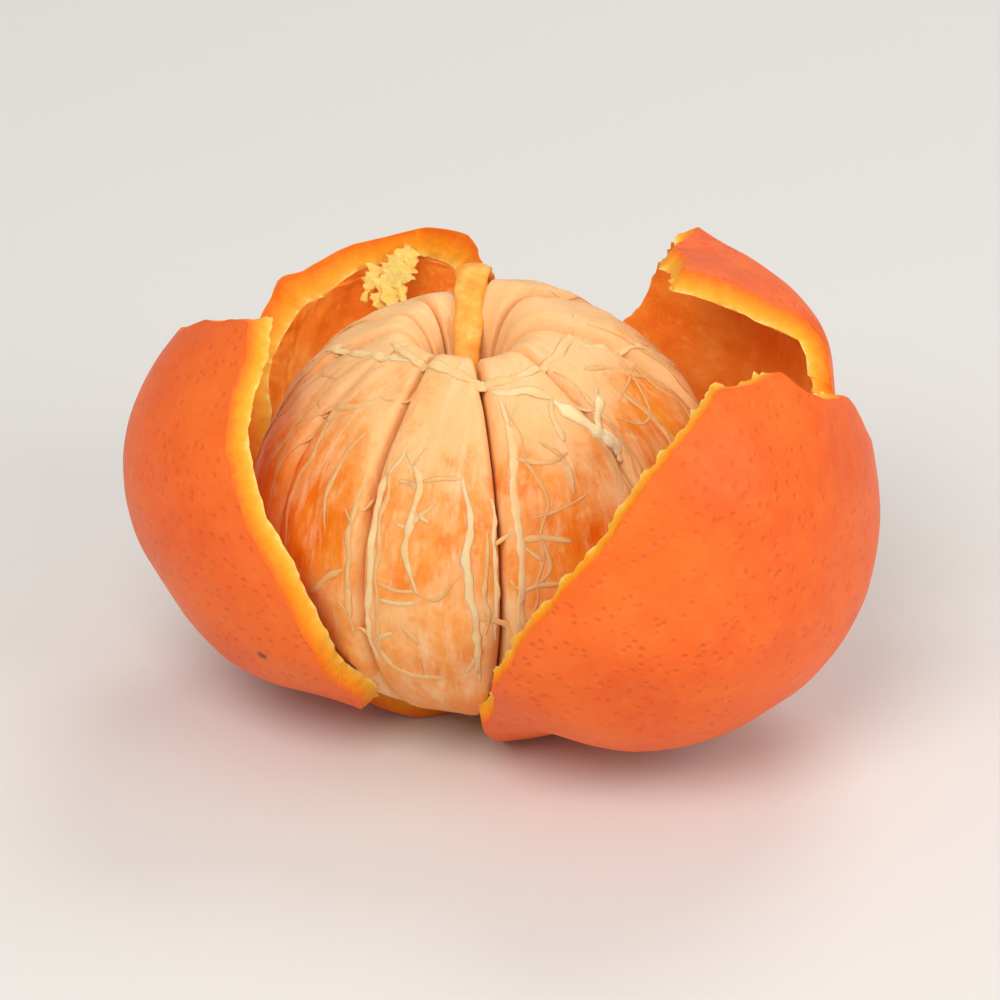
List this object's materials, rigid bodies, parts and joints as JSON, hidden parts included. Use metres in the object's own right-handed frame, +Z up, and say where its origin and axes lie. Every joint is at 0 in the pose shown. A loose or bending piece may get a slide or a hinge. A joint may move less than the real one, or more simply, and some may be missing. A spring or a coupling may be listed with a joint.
{
  "type": "peeled mandarin",
  "caption": "Half-peeled mandarin: a ball of segments with strings of white pith, standing in an orange peel torn into petal-shaped flaps joined at the base.",
  "frame": {"origin": "middle of the flat spot under the peel that the fruit rests on", "axes": "+Z up through the fruit towards its stem end, -Y the front with the widest opening between the flaps, +X to the right of that front"},
  "size_m": [0.0901, 0.0849, 0.0537],
  "materials": {
    "peel": "satin",
    "segment": "satin",
    "pith": "matte",
    "strap": "matte"
  },
  "bodies": {
    "root": {"peel": "peel", "segment_01": "segment", "segment_02": "segment", "segment_03": "segment", "segment_04": "segment", "segment_05": "segment", "segment_06": "segment", "segment_07": "segment", "segment_08": "segment", "segment_09": "segment", "segment_10": "segment", "pith_web": "pith", "pith_strap": "strap"}
  },
  "joints": []
}
